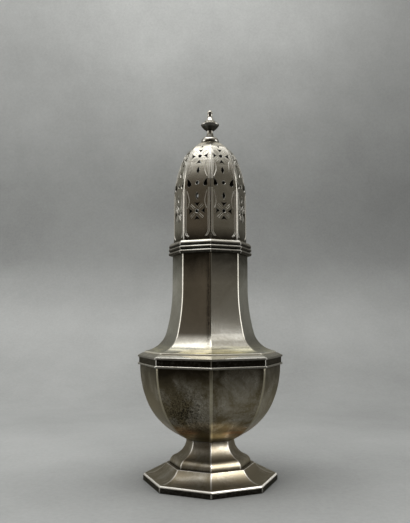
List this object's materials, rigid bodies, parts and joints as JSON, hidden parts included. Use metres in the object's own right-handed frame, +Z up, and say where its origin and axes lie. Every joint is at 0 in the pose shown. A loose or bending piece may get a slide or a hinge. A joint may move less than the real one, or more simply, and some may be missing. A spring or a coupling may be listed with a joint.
{
  "type": "sugar caster",
  "caption": "Octagonal silver sugar caster on a spreading foot, with a bowl, a waisted neck and a pull-off pierced dome that shakes sugar out, topped by an urn finial.",
  "frame": {"origin": "centre of the foot, on the table", "axes": "+Z up along the caster's axis; corners of the octagon lie on +X, -X, +Y and -Y"},
  "size_m": [0.0698, 0.0698, 0.1794],
  "materials": {
    "body_silver": "polished silver with a thin warm tarnish",
    "moulding_silver": "polished silver, dark in the hollows and bright on the edges",
    "dome_silver": "polished silver, engraved beside the corners",
    "bezel_silver": "plain silver, dulled by use",
    "finial_silver": "turned and polished silver"
  },
  "bodies": {
    "body": {"foot_rim": "moulding_silver", "pedestal_foot": "body_silver", "bowl": "body_silver", "girdle_moulding": "moulding_silver", "neck": "body_silver", "neck_rim": "moulding_silver"},
    "cover": {"cover_bezel": "bezel_silver", "cover_rim": "moulding_silver", "pierced_dome": "dome_silver", "finial_collar": "finial_silver", "finial": "finial_silver"}
  },
  "joints": [
    {"name": "cover_lift", "type": "slide", "parent": "body", "child": "cover", "axis": [0, 0, 1], "range_m": [0, 0.04]}
  ]
}
